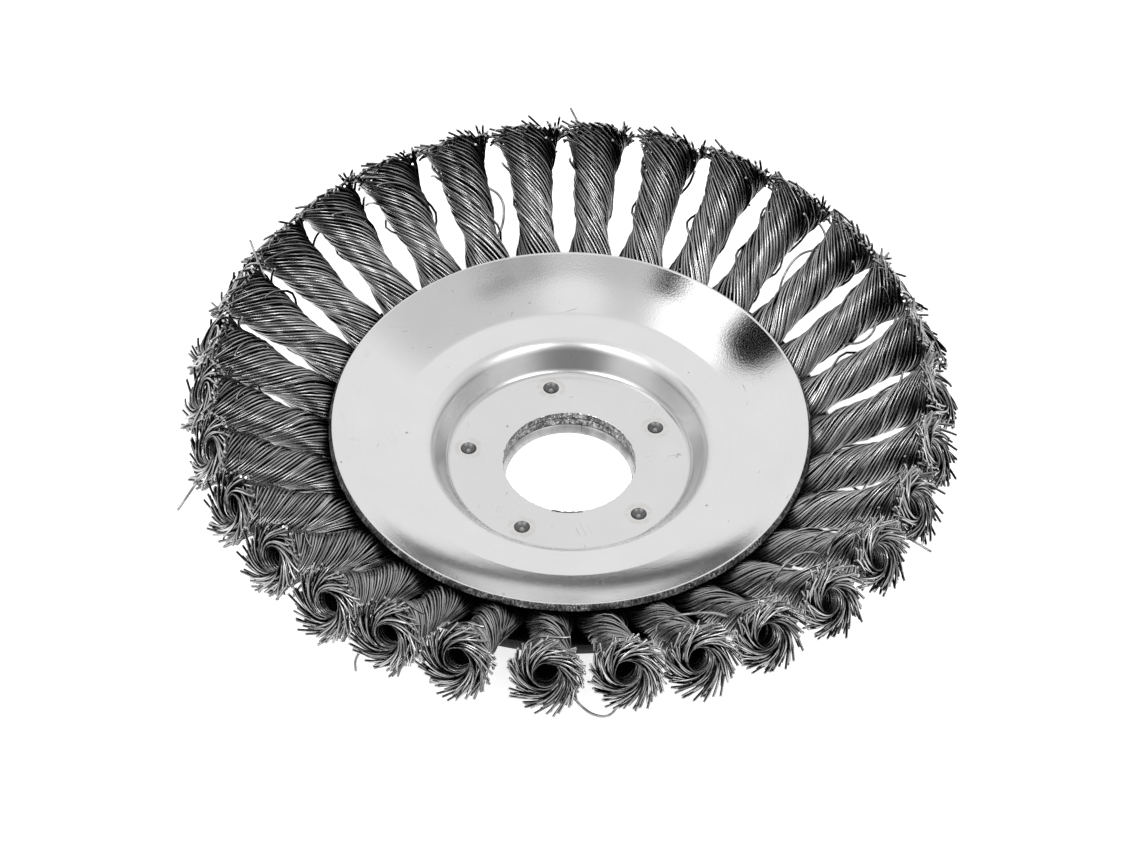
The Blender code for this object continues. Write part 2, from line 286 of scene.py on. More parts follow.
# %% [markdown]
# ## One layer of a knot's wires
# In the shaft all wires turn about the knot's axis together, so they are helices of one pitch.
# Where the bundle ends nothing holds them, and each runs on along its own tangent with a little
# curl left in it: that is why a knot's tip opens into a flower with a round eye. The tree below
# starts from one straight line, duplicates it once for each wire, and moves the points of wire
# number n to that path. The twist sets in past the clamp, which a hyperbola gives: its slope grows
# from nothing to the full turn for each millimetre. Nearer the eye the wires lie flatter, so an
# inner layer turns faster on its last few millimetres.

# %% The tree for one layer of wires
WAIST_RADIUS = 3.5 * MM
LAYER_INPUTS = {
    "Wires": 31,
    "Points": 34,
    "Diameter": WIRE_DIAMETER,
    "Waist Radius": WAIST_RADIUS,
    "Start": -8 * MM,
    "Depth": 0.0,
    "Leaving Place": 25 * MM,
    "Leaving Spread": 1.0 * MM,
    "Leaving Radius": 5.5 * MM,
    "Crown Twist": 0.0,
    "Free Length": 4.0 * MM,
    "Outward": 0.3 * MM,
    "Droop": 0.5,
    "Curl": 0.1,
    "Uneven": 0.24,
    "Bulge": 0.0,
    "Facing": 1.0,
    "Seed": 0,
    "Material": "Material",
}
CLAMP_HALF_WIDTH = 4.72 * MM
CLAMP_HALF_THICKNESS = 2.8 * MM
WAIST_PLACE = 9.0 * MM
LEG_LOBES = 0.10
FULL_TWIST = 0.235 / MM
TWIST_PLACE = 2.0 * MM
TWIST_SPREAD = 7.0 * MM
CROWN_RUN = 5.0 * MM
SHAFT_SHARE = 0.68
DEPTH_JITTER = 0.18 * MM
WOBBLE = 0.12 * MM
WOBBLE_RATE = 0.5 / MM
BULGE_RUN = 8.0 * MM
WIRE_SIDES = 5


def build_wire_layer():
    tree, value = new_tree("wire_layer", "GeometryNodeTree", LAYER_INPUTS, {"Geometry": "Geometry"})
    line = result(tree, "GeometryNodeCurvePrimitiveLine", {"End": (1, 0, 0)})
    dotted = result(tree, "GeometryNodeResampleCurve", {"Curve": line, "Count": value["Points"]})
    inputs = {"Geometry": dotted, "Amount": value["Wires"]}
    copies = node_with(tree, "GeometryNodeDuplicateElements", inputs, domain="SPLINE").outputs
    number = Formula(tree, copies["Duplicate Index"])
    share = result(tree, "GeometryNodeSplineParameter", output="Factor")

    def chance(low, high, draw):
        inputs = {2: low, 3: high, "ID": number, "Seed": value["Seed"] * 16 + draw}
        return result(tree, "FunctionNodeRandomValue", inputs, output=1, data_type="FLOAT")

    # The held part of the wire, from its start to the place where it leaves the bundle
    held = (share / SHAFT_SHARE).at_most(1)
    free = (share - SHAFT_SHARE).at_least(0) / (1 - SHAFT_SHARE)
    leaving = value["Leaving Place"] + value["Leaving Spread"] * chance(-1, 1, 0)
    along = value["Start"] + (leaving - value["Start"]) * held

    # The section there: flat in the clamp, round at the waist, and opening again towards the tip
    narrowing = along.ramp(0, WAIST_PLACE)
    opening = ((along - WAIST_PLACE).at_least(0) / (leaving - WAIST_PLACE)) ** 2
    inset = value["Depth"] + value["Diameter"] / 2 + DEPTH_JITTER * chance(-0.3, 1, 8)
    waist = value["Waist Radius"]
    widening = (value["Leaving Radius"] - waist + inset) * opening
    half_width = CLAMP_HALF_WIDTH + (waist - CLAMP_HALF_WIDTH) * narrowing + widening - inset
    half_thickness = CLAMP_HALF_THICKNESS + (waist - CLAMP_HALF_THICKNESS) * narrowing + widening - inset

    # The wire's own place in the bundle, and the two legs that show as two lobes
    place = number * math.tau / value["Wires"] + chance(-0.035, 0.035, 1)
    lobes = 1 + LEG_LOBES * (place * 2).cosine() * (1 - opening) * narrowing
    wobble = WOBBLE * (along * WOBBLE_RATE + chance(0, math.tau, 2)).sine()
    bulge_share = ((along - chance(2 * MM, 14 * MM, 3)) / BULGE_RUN).at_least(0).at_most(1)
    bulge = value["Bulge"] * chance(0.3, 1, 4) * (bulge_share * math.pi).sine() ** 2

    # The twist that the wire has taken up by then
    past = along - TWIST_PLACE
    twist = FULL_TWIST * ((past * past + TWIST_SPREAD**2).root() + past) / 2
    crown_twist = value["Crown Twist"] * (along - leaving + CROWN_RUN).at_least(0)
    curl = value["Curl"] * chance(0.6, 1.4, 6) * free * (2 - free)
    angle = place - twist - crown_twist - curl

    # Its run past the place where it leaves: along the tangent, rising at first and then drooping
    length = value["Free Length"] * (1 + value["Uneven"] * chance(-1, 1, 5))
    sideways = length * free
    climb = 1 / ((FULL_TWIST + value["Crown Twist"]) * value["Leaving Radius"])
    upwards = climb * sideways * (1 - value["Droop"] * chance(0.8, 1.2, 9) * free)
    extra = value["Outward"] * free + wobble + bulge
    side = (half_width * lobes + extra) * angle.cosine() + sideways * angle.sine()
    height = (half_thickness * lobes + extra) * angle.sine() - sideways * angle.cosine()
    inputs = {"Geometry": copies["Geometry"], "Position": combined(tree, along + upwards, side, height)}
    geometry = result(tree, "GeometryNodeSetPosition", inputs)

    # What the material reads later: the place along the wire, its tone, and its centre line
    for name, kind, stored in (
        ("along_wire", "FLOAT", share),
        ("wire_tone", "FLOAT", chance(0, 1, 7)),
        ("wire_centre", "FLOAT_VECTOR", result(tree, "GeometryNodeInputPosition")),
    ):
        inputs = {"Geometry": geometry, "Name": name, "Value": stored}
        geometry = result(tree, "GeometryNodeStoreNamedAttribute", inputs, data_type=kind)
    inputs = {"Resolution": WIRE_SIDES, "Radius": value["Diameter"] / 2}
    ring = result(tree, "GeometryNodeCurvePrimitiveCircle", inputs)
    inputs = {"Curve": geometry, "Profile Curve": ring, "Fill Caps": True}
    tubes = result(tree, "GeometryNodeCurveToMesh", inputs)

    # How far each corner of the tube looks out of the bundle: 1 outside, -1 inside, which the wire material
    # reads for its painted shade
    attribute = "GeometryNodeInputNamedAttribute"
    centre = result(tree, attribute, {"Name": "wire_centre"}, data_type="FLOAT_VECTOR")
    run = result(tree, attribute, {"Name": "along_wire"}, data_type="FLOAT")
    across, above = coordinates(tree, centre)[1:]
    reach = (across * across + above * above).root() + 0.001 * MM
    lifted = run.ramp(SHAFT_SHARE - 0.05, SHAFT_SHARE + 0.1)
    sunk = ((1 - lifted) * value["Facing"] + lifted * 0.6) / reach
    outwards = combined(tree, lifted * 0.8, across * sunk, above * sunk)
    corner = result(tree, "GeometryNodeInputPosition")
    offset = result(tree, "ShaderNodeVectorMath", {0: corner, 1: centre}, operation="SUBTRACT")
    inputs = {0: offset, 1: outwards}
    looking = result(tree, "ShaderNodeVectorMath", inputs, output="Value", operation="DOT_PRODUCT")
    inputs = {"Geometry": tubes, "Name": "outward_side", "Value": looking / (value["Diameter"] / 2)}
    geometry = result(tree, "GeometryNodeStoreNamedAttribute", inputs)
    inputs = {"Geometry": geometry, "Name": "wire_centre"}
    cleaned = result(tree, "GeometryNodeRemoveAttribute", inputs)
    smooth = result(tree, "GeometryNodeSetShadeSmooth", {"Geometry": cleaned})
    inputs = {"Geometry": smooth, "Material": value["Material"]}
    node_with(tree, "NodeGroupOutput", {"Geometry": result(tree, "GeometryNodeSetMaterial", inputs)})
    return tree


wire_layer = build_wire_layer()
print("wire_layer has", len(wire_layer.nodes), "nodes")

# %% [markdown]
# ## A whole knot
# Five layers make a knot: the outer wires, two layers that show between them where the knot opens,
# the ones that line the eye and fold out over its lip, and a few that have come loose. Behind them
# the wires are packed too close to tell apart, so one turned core stands for those, coloured near
# black as painted shade.

# %% The tree for a knot
WIRE_LAYERS = {
    "outer": {
        "Leaving Place": KNOT_LENGTH - 4.4 * MM,
        "Leaving Radius": 5.4 * MM,
        "Free Length": 4.3 * MM,
        "Droop": 0.2,
    },
    "second": {
        "Wires": 26,
        "Points": 30,
        "Start": -2 * MM,
        "Depth": 0.45 * MM,
        "Leaving Place": KNOT_LENGTH - 3.8 * MM,
        "Leaving Radius": 4.4 * MM,
        "Leaving Spread": 0.7 * MM,
        "Crown Twist": 0.1 / MM,
        "Free Length": 4.8 * MM,
        "Droop": 0.5,
        "Curl": 0.25,
    },
    "third": {
        "Wires": 17,
        "Points": 20,
        "Start": KNOT_LENGTH - 9 * MM,
        "Depth": 1.0 * MM,
        "Leaving Place": KNOT_LENGTH - 3.0 * MM,
        "Leaving Radius": 3.4 * MM,
        "Leaving Spread": 0.5 * MM,
        "Crown Twist": 0.35 / MM,
        "Free Length": 5.2 * MM,
        "Outward": 0.8 * MM,
        "Droop": 0.9,
        "Curl": 0.6,
    },
    "eye": {
        "Wires": 14,
        "Points": 30,
        "Start": KNOT_LENGTH - 7 * MM,
        "Depth": 1.2 * MM,
        "Leaving Place": KNOT_LENGTH - 2.3 * MM,
        "Leaving Spread": 0.3 * MM,
        "Leaving Radius": 2.6 * MM,
        "Crown Twist": 0.9 / MM,
        "Free Length": 5.8 * MM,
        "Outward": 0.9 * MM,
        "Droop": 1.1,
        "Curl": 1.0,
        "Facing": -1.0,
    },
    "loose": {
        "Wires": 4,
        "Leaving Place": KNOT_LENGTH - 6.5 * MM,
        "Leaving Spread": 2.5 * MM,
        "Leaving Radius": 5.3 * MM,
        "Free Length": 3.4 * MM,
        "Outward": 0.6 * MM,
        "Uneven": 0.4,
        "Bulge": 1.2 * MM,
    },
}


def build_knot_tree():
    inputs = {"Core": "Geometry", "Seed": 1, "Waist Radius": WAIST_RADIUS, "Wire Material": "Material"}
    tree, value = new_tree("twisted_knot", "GeometryNodeTree", inputs, {"Geometry": "Geometry"})
    joined = tree.nodes.new("GeometryNodeJoinGeometry")
    feed(tree, value["Core"], joined.inputs[0])
    for number, (name, sizes) in enumerate(WIRE_LAYERS.items()):
        inputs = {
            "Seed": value["Seed"] * len(WIRE_LAYERS) + number,
            "Waist Radius": value["Waist Radius"],
            "Material": value["Wire Material"],
        }
        layer = result(tree, "GeometryNodeGroup", {**sizes, **inputs}, node_tree=wire_layer, label=name)
        feed(tree, layer, joined.inputs[0])
    real = result(tree, "GeometryNodeRealizeInstances", {"Geometry": joined.outputs[0]})
    node_with(tree, "NodeGroupOutput", {"Geometry": real})
    return tree


knot_tree = build_knot_tree()
print("a knot has", len(WIRE_LAYERS), "layers of wires")

# %% [markdown]
# ## Steel wire
# Drawn steel wire is grey and only fairly smooth. Each wire has its own tone, from the number that
# the tree stored on it. The side that looks into the bundle is painted black, a painted shade
# between the wires with a little drawing soap and dust in it, so the wires stand apart, and the
# last bit of each wire is bright, because it was cut there.

# %% Helpers for materials
def new_material(name, metallic=1.0):
    material = bpy.data.materials.new(name)
    material.use_nodes = True
    shader = material.node_tree.nodes["Principled BSDF"]
    shader.inputs["Metallic"].default_value = metallic
    return material, material.node_tree, shader


def paint(tree, shader, colour, roughness):
    feed(tree, colour, shader.inputs["Base Color"])
    feed(tree, roughness, shader.inputs["Roughness"])


def add_bump(tree, shader, height, distance, strength=1.0):
    inputs = {"Height": height, "Distance": distance, "Strength": strength}
    feed(tree, result(tree, "ShaderNodeBump", inputs), shader.inputs["Normal"])


def object_place(tree):
    return result(tree, "ShaderNodeTexCoord", output="Object")


def attribute_value(tree, name):
    return result(tree, "ShaderNodeAttribute", output="Fac", attribute_name=name)


def mixed(tree, low, high, share):
    """A colour between two greys or colours, by a share."""
    ends = [(value, value, value, 1) if isinstance(value, float) else value for value in (low, high)]
    inputs = {"Factor": share, 6: ends[0], 7: ends[1]}
    return result(tree, "ShaderNodeMix", inputs, output=2, data_type="RGBA")


def noise(tree, vector, scale, detail=2.0, roughness=0.5):
    inputs = {"Vector": vector, "Scale": scale, "Detail": detail, "Roughness": roughness}
    return result(tree, "ShaderNodeTexNoise", inputs, output="Fac")


# %% Wire materials
# The first grey is the near black of the painted shade on the wires' inner sides
WIRE_PAINTED_SHADE = 0.01
WIRE_DULL = 0.24
WIRE_BRIGHT = 0.74
CUT_FACE = 0.5
SCUFFS_ALONG = 5.0
SCUFFS_BY_TONE = 90.0


def make_wire_material():
    material, tree, shader = new_material("drawn_steel_wire")
    tone = attribute_value(tree, "wire_tone")
    along = attribute_value(tree, "along_wire")
    stretched = combined(tree, along * SCUFFS_ALONG, tone * SCUFFS_BY_TONE)
    scuffs = noise(tree, stretched, 1.0, detail=1.0).ramp(0.35, 0.7)
    drawn = mixed(tree, WIRE_DULL, WIRE_BRIGHT, tone * 0.5 + scuffs * 0.5)
    # Painted shade: each wire is made near black on the side that looks into the bundle
    outside_painted_shade = attribute_value(tree, "outward_side").ramp(0.05, 0.95)
    shaded = mixed(tree, WIRE_PAINTED_SHADE, drawn, outside_painted_shade)
    at_cut = along.ramp(0.994, 0.999)
    paint(tree, shader, mixed(tree, shaded, CUT_FACE, at_cut), 0.28 - scuffs * 0.1)
    return material


def make_packed_shade_material():
    material, tree, shader = new_material("packed_wire_core_painted_shade")
    # Near black: painted shade for the packed wires deep inside the knot
    cloud = noise(tree, object_place(tree), 1500.0)
    feed(tree, mixed(tree, 0.004, 0.02, cloud), shader.inputs["Base Color"])
    shader.inputs["Roughness"].default_value = 0.7
    return material


wire_steel = make_wire_material()
packed_wires_shade = make_packed_shade_material()
print("wire materials:", wire_steel.name, packed_wires_shade.name)

# %% The packed core of a knot
CORE_STEPS = 20
CORE_START = -8 * MM
CORE_INSET = 0.95 * MM


def make_core_mesh():
    """The core, turned about the knot's axis, with a hollow for the eye."""
    waist = WAIST_RADIUS - CORE_INSET
    tip = KNOT_LENGTH
    profile = [
        (CORE_START, 0),
        (CORE_START, 1.8 * MM),
        (2 * MM, 1.8 * MM),
        (WAIST_PLACE, waist),
        (tip - 12 * MM, waist + 0.2 * MM),
        (tip - 7 * MM, 3.3 * MM),
        (tip - 5 * MM, 3.7 * MM),
        (tip - 3.7 * MM, 3.4 * MM),
        (tip - 3.3 * MM, 2.9 * MM),
        (tip - 4.2 * MM, 2.5 * MM),
        (tip - 8 * MM, 2.1 * MM),
        (tip - 9 * MM, 0),
    ]
    shape = bmesh.new()
    corners = [shape.verts.new((place, radius, 0)) for place, radius in profile]
    edges = [shape.edges.new(pair) for pair in zip(corners, corners[1:])]
    bmesh.ops.spin(
        shape,
        geom=corners + edges,
        cent=(0, 0, 0),
        axis=(1, 0, 0),
        angle=math.tau,
        steps=CORE_STEPS,
        use_merge=True,
    )
    bmesh.ops.remove_doubles(shape, verts=shape.verts, dist=0.001 * MM)
    bmesh.ops.recalc_face_normals(shape, faces=shape.faces)
    mesh = kept_mesh(shape, "packed_core")
    mesh.shade_smooth()
    mesh.materials.append(packed_wires_shade)
    return mesh


core_mesh = make_core_mesh()
print("core:", triangles(core_mesh), "triangles")

# %% [markdown]
# ## Thirty knots
# Each knot is the same tree with its own seed, so no two are alike. It leans a little, as the real
# ones do, and then its mesh is turned into place and becomes plain. The knots at the front lean
# most, and theirs are written out, in degrees to the knot's left and up. On the left the knots are
# looser and so thicker, and close the gaps between them: their waists are given in millimetres.

# %% Make the knots
KNOT_SAG = math.radians(0.95)
LEAN = math.radians(1.1)
PITCH = math.radians(0.3)
KNOT_LEANS = {
    18: (0.3, 0.3),
    19: (1.8, 0.4),
    20: (-1.0, 0.3),
    21: (-2.4, 0.2),
    22: (2.8, -0.3),
    23: (3.4, 0.2),
}
LOOSE_WAISTS = {13: 3.8, 14: 4.1, 15: 4.3, 16: 4.3, 17: 4.2, 18: 4.1, 19: 3.9}


def knot_placement(index, lean=0.0, pitch=0.0):
    """Puts a knot's own +X along its axis, with its origin below the clamping corner."""
    spin = Matrix.Rotation(FIRST_KNOT_ANGLE + index * math.tau / KNOTS, 4, "Z")
    start = Matrix.Translation((clamp_radius, 0, clamp_height - axis_depth / math.cos(KNOT_ANGLE)))
    tilt = Matrix.Rotation(KNOT_SAG - KNOT_ANGLE - pitch, 4, "Y")
    return spin @ start @ Matrix.Rotation(lean, 4, "Z") @ tilt


def as_piece(name, mesh, node=None):
    """The finished object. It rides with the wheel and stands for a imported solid, if it has one."""
    piece = in_scene(name, mesh)
    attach(piece, "root")
    if node:
        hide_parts(node)
    return piece


def make_knot(index, chance):
    name = f"knot_wires_{index + 1:02d}"
    waist = WAIST_RADIUS * chance.uniform(0.97, 1.06)
    if index in LOOSE_WAISTS:
        waist = LOOSE_WAISTS[index] * MM
    inputs = {"Seed": index + 1, "Waist Radius": waist, "Wire Material": wire_steel}
    mesh = run_tree(in_scene(name, core_mesh.copy()), knot_tree, inputs)
    lean = chance.uniform(-LEAN, LEAN)
    pitch = chance.uniform(-PITCH, PITCH)
    if index in KNOT_LEANS:
        lean, pitch = (math.radians(angle) for angle in KNOT_LEANS[index])
    mesh.transform(knot_placement(index, lean, pitch))
    return as_piece(name, mesh, f"knot_{index + 1:02d}")


knot_chance = random.Random(7)
knots = [make_knot(index, knot_chance) for index in range(KNOTS)]
print("a knot has", triangles(knots[0].data), "triangles, all have", sum(triangles(k.data) for k in knots))

# %% [markdown]
# ## Stray wires
# A few wires have sprung out of their knots and arch over them. They are too few for a rule, so
# each is a curve through points listed one by one: the distance along the knot and out from its
# axis, and the angle about it.

# %% Make the strays
STRAYS = [
    (23, [(26, 9.9, 196), (26.8, 9.5, 208), (27, 9.3, 222), (27, 9.1, 237), (27, 8.4, 252),
          (26, 6.4, 268)]),
    (24, [(16, 5.0, 140), (20, 7.6, 124), (24, 8.6, 104), (26, 8.8, 84), (26.4, 9.2, 62), (26, 9.8, 42)]),
    (26, [(15, 4.0, 160), (19, 7.8, 138), (21, 8.8, 112), (22, 8.8, 88), (23, 7.8, 64), (23, 6.0, 44)]),
    (27, [(18, 4.5, 150), (21, 7.2, 128), (23, 8.0, 106), (24, 7.4, 84), (24, 6.0, 66)]),
    (20, [(27, 6.2, 222), (27.6, 8.4, 234), (27.6, 9.6, 243)]),
    (9, [(7, 3.4, 196), (11, 6.0, 190), (15, 6.4, 184), (18, 4.0, 178)]),
    (3, [(8, 3.2, 350), (12, 5.8, 355), (17, 6.2, 2), (20, 4.4, 8)]),
    (2, [(12, 3.4, 186), (15, 5.8, 182), (18, 6.0, 176), (20, 4.6, 170)]),
    (16, [(26.5, 4.1, 284), (28, 8.1, 293), (29.6, 12.2, 297)]),
    (13, [(24, 5.2, 120), (28, 7.4, 132), (30.5, 9.0, 138)]),
    (7, [(25, 5.2, 60), (28.5, 5.6, 40), (31.5, 6.6, 25)]),
    (0, [(25, 5.0, 60), (28, 7.4, 52), (30, 9.4, 48)]),
    (28, [(24, 5.4, 200), (28, 7.6, 215), (30.5, 9.2, 222)]),
]


def make_stray(index, stations):
    curve = bpy.data.curves.new("stray_wire", "CURVE")
    curve.dimensions = "3D"
    curve.bevel_depth = WIRE_DIAMETER / 2
    curve.bevel_resolution = 1
    curve.use_fill_caps = True
    curve.resolution_u = 6
    spline = curve.splines.new("BEZIER")
    spline.bezier_points.add(len(stations) - 1)
    for point, (along, radius, angle) in zip(spline.bezier_points, stations):
        turn = math.radians(angle)
        point.co = Vector((along, radius * math.cos(turn), radius * math.sin(turn))) * MM
        point.handle_left_type = "AUTO"
        point.handle_right_type = "AUTO"
    mesh = finished_mesh(in_scene("stray_wire", curve), "stray_wire")
    mesh.transform(knot_placement(index))
    return mesh


def joined_mesh(name, meshes):
    shape = bmesh.new()
    for mesh in meshes:
        shape.from_mesh(mesh)
        bpy.data.meshes.remove(mesh)
    bmesh.ops.remove_doubles(shape, verts=shape.verts, dist=0.001 * MM)
    whole = kept_mesh(shape, name)
    whole.shade_smooth()
    return whole


def make_stray_material():
    material, tree, shader = new_material("stray_steel_wire")
    scuffs = noise(tree, object_place(tree), 500.0, detail=3.0).ramp(0.35, 0.7)
    paint(tree, shader, mixed(tree, 0.2, 0.42, scuffs), 0.22 + scuffs * 0.14)
    return material


stray_mesh = joined_mesh("stray_wires", [make_stray(index, stations) for index, stations in STRAYS])
stray_mesh.materials.append(make_stray_material())
as_piece("stray_wires", stray_mesh)
print("stray wires:", len(STRAYS), "with", triangles(stray_mesh), "triangles")

# %% [markdown]
# ## Marks on sheet metal
# The pressed sheets share two effects, so each is a node group that is built once: the fine grain
# of the plating, and the specks and hair scratches of handling.

# %% Shared shader groups
GRAIN = 2600.0
SCRATCH_TURNS = (0.35, 1.9, 2.75)
SCRATCH_LENGTH = 40 * MM
SCRATCH_WIDTH = 1 * MM


def spindle_distance(tree, place):
    x, y = coordinates(tree, place)[:2]
    return (x * x + y * y).root()


def sheet_grain_group():
    """Fine grain for plated sheet: a slow tone, a height for its bump and the rings of the turning."""
    outputs = {"Tone": "Float", "Height": "Float", "Rings": "Float"}
    tree, value = new_tree("sheet_grain", "ShaderNodeTree", {"Vector": "Vector", "Grain": GRAIN}, outputs)
    rings = noise(tree, combined(tree, spindle_distance(tree, value["Vector"])), 2200.0)
    fine = noise(tree, value["Vector"], value["Grain"], detail=3.0, roughness=0.65)
    slow = noise(tree, value["Vector"], 90.0, detail=4.0)
    node_with(tree, "NodeGroupOutput", {"Tone": slow, "Height": fine, "Rings": rings})
    return tree


def handling_marks_group():
    """Specks and hair scratches, as a mask that is 1 in a speck."""
    tree, value = new_tree("handling_marks", "ShaderNodeTree", {"Vector": "Vector"}, {"Mask": "Float"})
    place = value["Vector"]
    cells = node_with(tree, "ShaderNodeTexVoronoi", {"Vector": place, "Scale": 260.0}).outputs
    chosen = result(tree, "ShaderNodeSeparateColor", {"Color": cells["Color"]}).ramp(0.72, 0.76)
    mask = (1 - Formula(tree, cells["Distance"]).ramp(0.03, 0.09)) * chosen
    for turn in SCRATCH_TURNS:
        size = (SCRATCH_WIDTH, SCRATCH_LENGTH, SCRATCH_LENGTH)
        inputs = {"Vector": place, "Rotation": (0, 0, turn), "Scale": size}
        along_scratch = result(tree, "ShaderNodeMapping", inputs, vector_type="TEXTURE")
        line = noise(tree, along_scratch, 1.0, detail=0.0)
        patch = noise(tree, place, 150.0 + 40.0 * turn, detail=1.0).ramp(0.64, 0.72)
        hair = (1 - (line - 0.5).size().ramp(0.0, 0.01)) * patch
        mask = mask.at_least(hair * 0.6)
    node_with(tree, "NodeGroupOutput", {"Mask": mask})
    return tree


def group_values(tree, group, inputs):
    node = node_with(tree, "ShaderNodeGroup", inputs, node_tree=group)
    return [Formula(tree, output) for output in node.outputs]


sheet_grain = sheet_grain_group()
handling_marks = handling_marks_group()
print("shared groups:", sheet_grain.name, handling_marks.name)

# %% [markdown]
# ## Zinc-plated sheet
# The upper plate is bright zinc: a light metal that still mirrors the studio softly. The drawn wall
# of its recess is rougher than the rest and painted darker, partly the dull drawn zinc and partly
# painted shade in the recess, and the hub floor is painted a little darker.
# Round each spot weld the heat has left a faint brown ring, and the sheared edges are rough and
# dark.

# %% Zinc and its sheared edges
HUB_DARKENING = 0.07
WALL_SHADE_AND_DULLING = 0.22
HEAT_TINT = (0.60, 0.56, 0.52, 1)
WELD_COUNT = 5
WELD_CIRCLE = 19.2 * MM
FIRST_WELD_ANGLE = math.radians(28.5)
WELD_OFFSET = (-0.4 * MM, 0.3 * MM)


def weld_distance(tree, place):
    """Distance from the nearest weld, seen along the spindle."""
    x, y = (value - shift for value, shift in zip(coordinates(tree, place), WELD_OFFSET))
    step = math.pi / WELD_COUNT
    angle = y.math("ARCTAN2", y, x) - FIRST_WELD_ANGLE
    folded = angle.math("WRAP", angle, step, -step)
    squared = x * x + y * y
    return (squared + WELD_CIRCLE**2 - squared.root() * (2 * WELD_CIRCLE) * folded.cosine()).root()


def make_zinc():
    material, tree, shader = new_material("bright_zinc")
    place = object_place(tree)
    tone, height, rings = group_values(tree, sheet_grain, {"Vector": place})
    marks = group_values(tree, handling_marks, {"Vector": place})[0]
    gap = weld_distance(tree, place)
    patchy = noise(tree, place, 700.0).ramp(0.3, 0.6)
    ring = gap.ramp(1.5 * MM, 2.1 * MM) * (1 - gap.ramp(2.3 * MM, 3.1 * MM)) * patchy
    radius = spindle_distance(tree, place)
    past_foot = radius.ramp(RECESS_RADIUS - 0.8 * MM, RECESS_RADIUS + 0.2 * MM)
    past_lip = radius.ramp(recess_lip_radius - 1.2 * MM, recess_lip_radius + 0.4 * MM)
    drawn = past_foot * (1 - radius.ramp(recess_lip_radius + 0.6 * MM, recess_lip_radius + 2.2 * MM))
    clean = mixed(tree, 0.72, 0.84, tone * 0.7 + rings * 0.3)
    # The hub floor is painted a little darker, and the recess wall darker still: partly dull drawn zinc,
    # partly painted shade
    hub_and_wall_darkening = (1 - past_foot) * HUB_DARKENING + past_foot * (1 - past_lip) * WALL_SHADE_AND_DULLING
    heated = mixed(tree, mixed(tree, clean, 0.0, hub_and_wall_darkening), HEAT_TINT, ring * 0.45)
    roughness = 0.07 + tone * 0.05 + drawn * 0.21 + marks * 0.3
    paint(tree, shader, mixed(tree, heated, 0.25, marks * 0.8), roughness)
    add_bump(tree, shader, height, 0.011 * MM)
    return material


def drawn_out(tree, place, share):
    """The place with its height shrunk, so that a pattern runs along the spindle."""
    return result(tree, "ShaderNodeMapping", {"Vector": place, "Scale": (1.0, 1.0, share)})


def make_sheared_edge():
    material, tree, shader = new_material("sheared_sheet_edge")
    place = object_place(tree)
    tears = noise(tree, drawn_out(tree, place, 0.4), 2600.0, detail=4.0, roughness=0.8)
    glints = noise(tree, place, 3200.0).ramp(0.6, 0.68) * noise(tree, place, 300.0).ramp(0.45, 0.6)
    torn = mixed(tree, 0.03, 0.6, tears.ramp(0.38, 0.66) * noise(tree, place, 500.0).ramp(0.2, 0.7))
    paint(tree, shader, mixed(tree, torn, 0.85, glints), 0.3 + tears * 0.3)
    add_bump(tree, shader, tears, 0.12 * MM, strength=0.8)
    return material


def make_weld_scale_and_highlight():
    material, tree, shader = new_material("weld_scale_and_highlight")
    place = object_place(tree)
    cloud = noise(tree, place, 900.0, detail=3.0)
    burnt = mixed(tree, 0.10, 0.24, cloud)
    off_painted_highlight = weld_distance(tree, place).ramp(0.1 * MM, 0.6 * MM)
    # Painted highlight: the middle of each pit, where its bump is, is painted a lighter grey; the rest is
    # dark weld scale
    paint(tree, shader, mixed(tree, 0.42, burnt, off_painted_highlight), 0.3 + cloud * 0.2)
    return material


# The lower plate's steel is coloured near black all over: painted shade for the dark between the plates and
# under the knots' roots
def make_painted_shade_black():
    material, tree, shader = new_material("blackened_steel")
    place = object_place(tree)
    tone, height = group_values(tree, sheet_grain, {"Vector": place, "Grain": 1800.0})[:2]
    marks = group_values(tree, handling_marks, {"Vector": place})[0]
    black = mixed(tree, 0.025, 0.06, tone)
    paint(tree, shader, mixed(tree, black, 0.3, marks * 0.7), 0.38 + tone * 0.15)
    add_bump(tree, shader, height, 0.02 * MM)
    return material


zinc = make_zinc()
sheared_edge = make_sheared_edge()
weld_scale_and_highlight = make_weld_scale_and_highlight()
painted_shade_black = make_painted_shade_black()
print("sheet materials:", zinc.name, sheared_edge.name, weld_scale_and_highlight.name, painted_shade_black.name)

# %% [markdown]
# ## Turned sheets
# A pressed plate is one profile turned about the spindle. The outline goes along the top of the
# sheet and back along its underside, and arcs round each fold. Screw turns it, and a small Bevel
# takes the sharpness off the cut edges; on the upper plate their faces then get the material of a
# sheared edge.
# Where a flat part meets a curved one, a point is added on the flat beside it, so that the shading
# of the curve doesn't spread over the flat.

# %% Turn a sheet
SHEET_STEPS = 288
HELD = 0.5 * MM
SHARP_ANGLE = math.radians(38)


def rounded_profile(corners):
    """Points along a line of (radius, height, fillet, steps) corners, with an arc in each filleted one."""
    points = []
    for index, (radius, height, fillet, steps) in enumerate(corners):
        corner = Vector((radius, height))
        if not fillet:
            points.append(corner)
            continue
        before = (Vector(corners[index - 1][:2]) - corner).normalized()
        after = (Vector(corners[index + 1][:2]) - corner).normalized()
        half_angle = before.angle(after) / 2
        centre = corner + (before + after).normalized() * fillet / math.sin(half_angle)
        tangent_length = fillet / math.tan(half_angle)
        start = (corner + before * tangent_length - centre).normalized()
        end = (corner + after * tangent_length - centre).normalized()
        points += [centre + fillet * start.slerp(end, step / steps) for step in range(steps + 1)]
    return points


